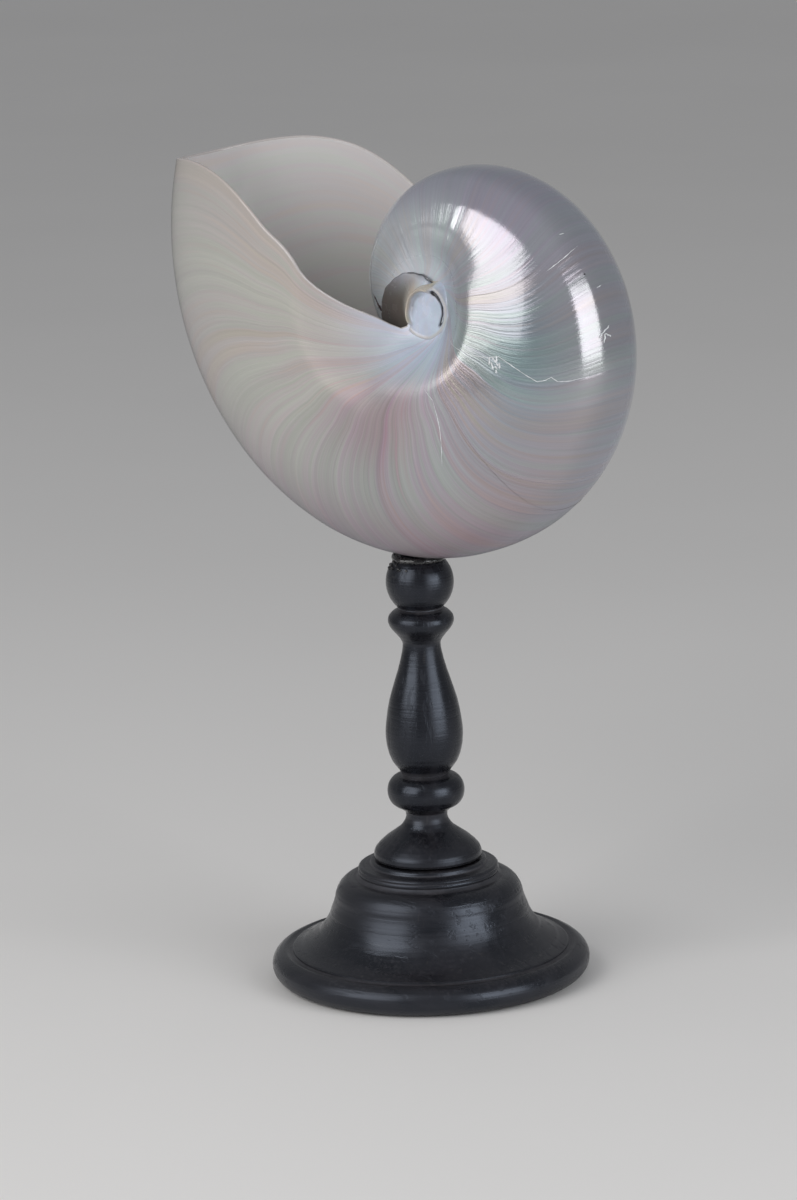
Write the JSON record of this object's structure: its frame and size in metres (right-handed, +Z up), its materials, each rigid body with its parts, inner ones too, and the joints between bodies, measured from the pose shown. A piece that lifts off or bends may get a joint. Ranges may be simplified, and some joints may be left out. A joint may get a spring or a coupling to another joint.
{
  "type": "polished nautilus shell on a turned stand",
  "caption": "Polished pearl nautilus shell with an open body chamber, glued upright on a turned blackened-wood stand with a round stepped foot.",
  "frame": {"origin": "centre of the foot's flat underside", "axes": "+Z up along the stem; the shell's plane of symmetry is the XZ plane, its mouth opens up and toward -X, and its coil axis runs along Y"},
  "size_m": [0.1627, 0.1002, 0.2588],
  "materials": {
    "nacre": "polished mother-of-pearl, grey-white with soft pink, green and blue bands",
    "blackened_wood": "black-stained turned wood, satin",
    "clear_glue": "translucent hot glue, glossy"
  },
  "bodies": {
    "root": {"shell": "nacre", "stem": "blackened_wood", "foot": "blackened_wood", "glue": "clear_glue"}
  },
  "joints": []
}
